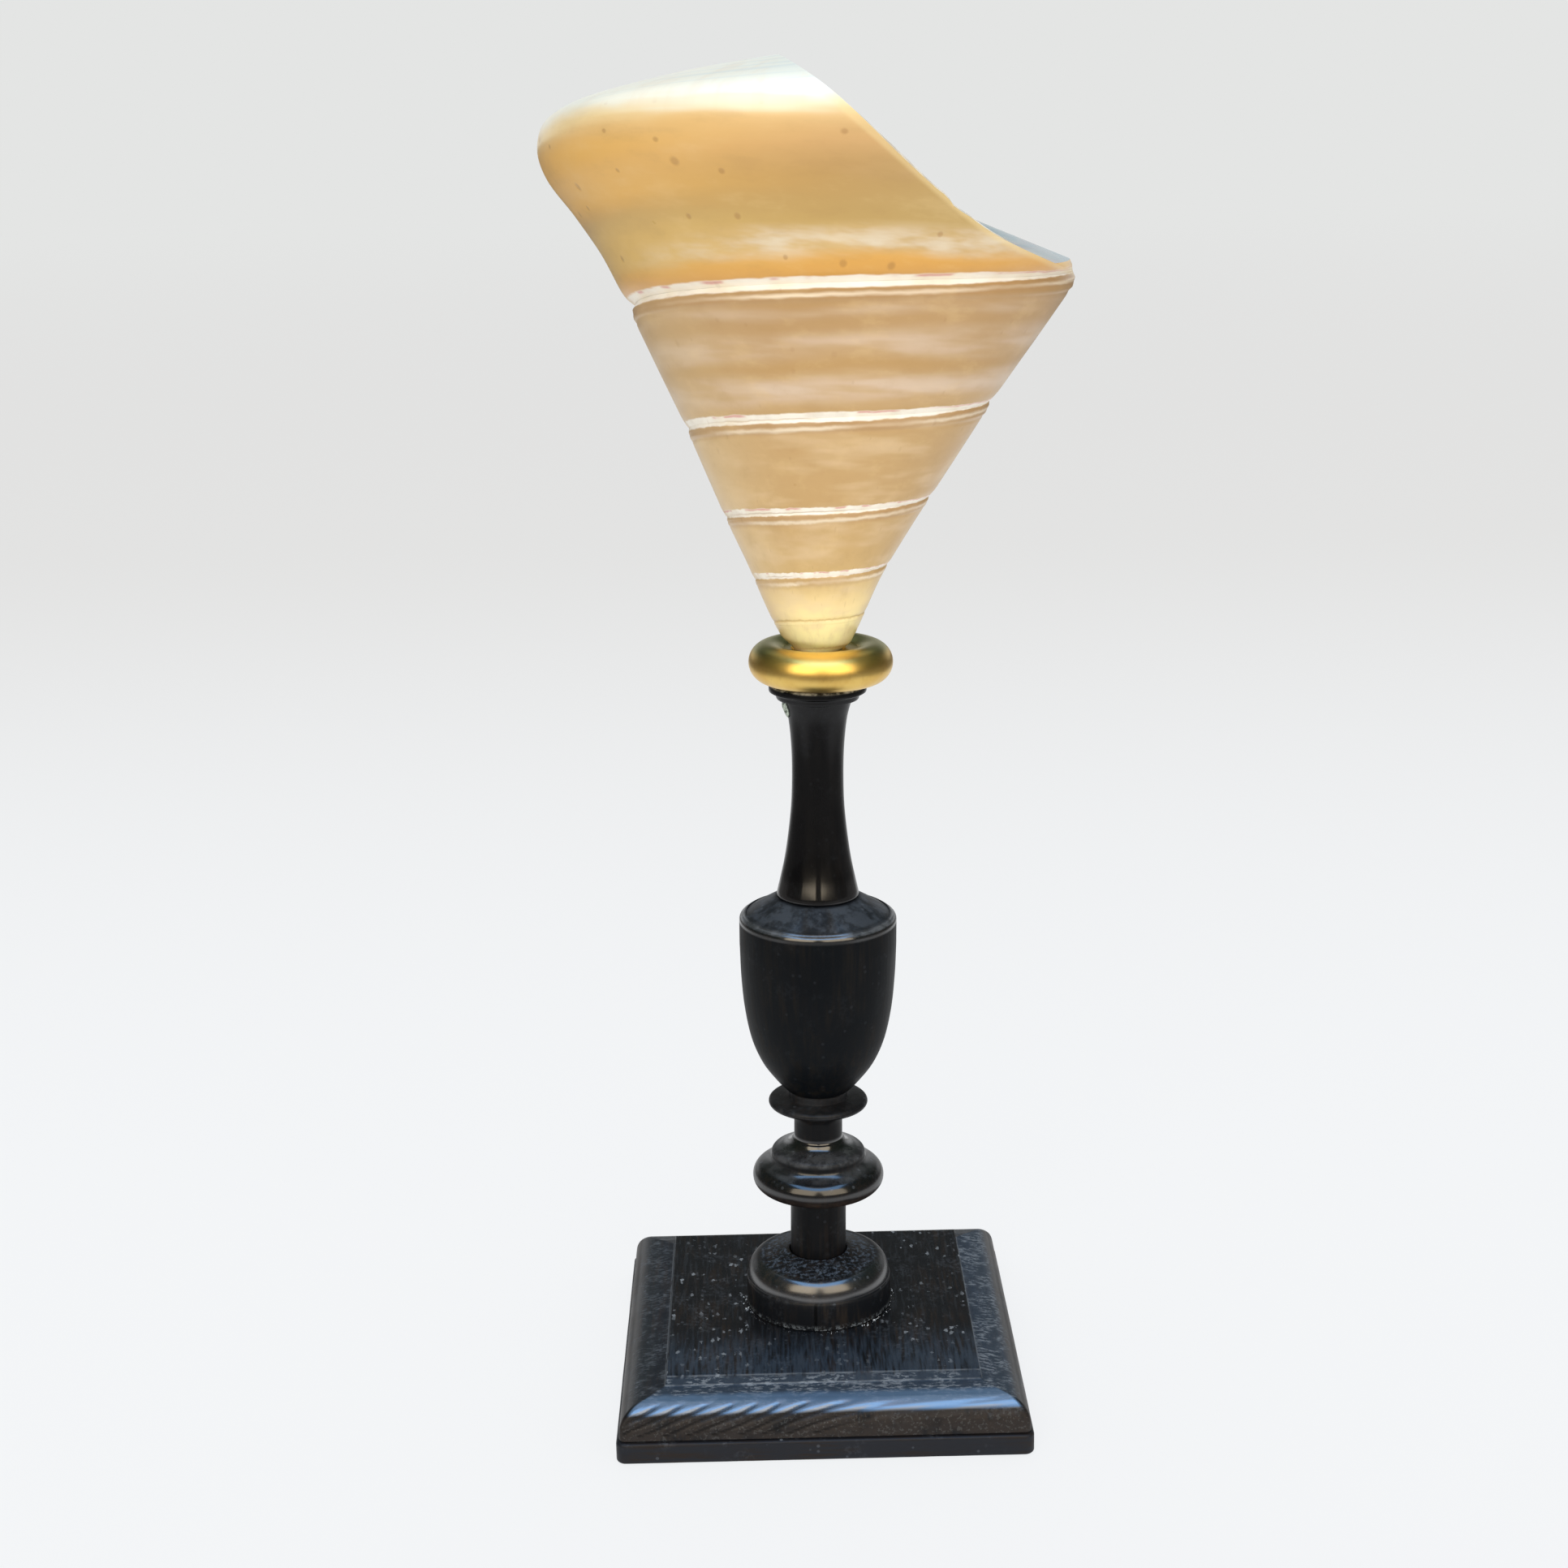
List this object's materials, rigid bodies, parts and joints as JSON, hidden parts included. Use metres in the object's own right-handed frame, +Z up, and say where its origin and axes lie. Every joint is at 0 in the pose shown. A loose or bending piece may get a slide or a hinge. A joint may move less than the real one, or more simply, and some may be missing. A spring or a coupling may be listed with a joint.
{
  "type": "trochus shell half on stand",
  "caption": "Polished top shell, cut in half lengthwise, held point down in a brass ring on a turned black wooden stand with a moulded square plinth.",
  "frame": {"origin": "middle of the plinth's underside, on the floor", "axes": "+Z up along the stand; -Y is the front, which the shell's outer side faces; +Y is the back, which the shell's flat cut face faces; +X is to the right, where the shell's lip ends"},
  "size_m": [0.1134, 0.1061, 0.2987],
  "materials": {
    "nacre": "polished",
    "brass": "polished",
    "ebonised_polished": "gloss",
    "ebonised_matte": "satin",
    "ebonised_worn": "satin"
  },
  "bodies": {
    "root": {"plinth_board": "ebonised_worn", "plinth_block": "ebonised_worn", "foot": "ebonised_worn", "spindle": "ebonised_matte", "urn": "ebonised_matte", "neck": "ebonised_polished", "brass_ring": "brass", "shell_half": "nacre"}
  },
  "joints": []
}
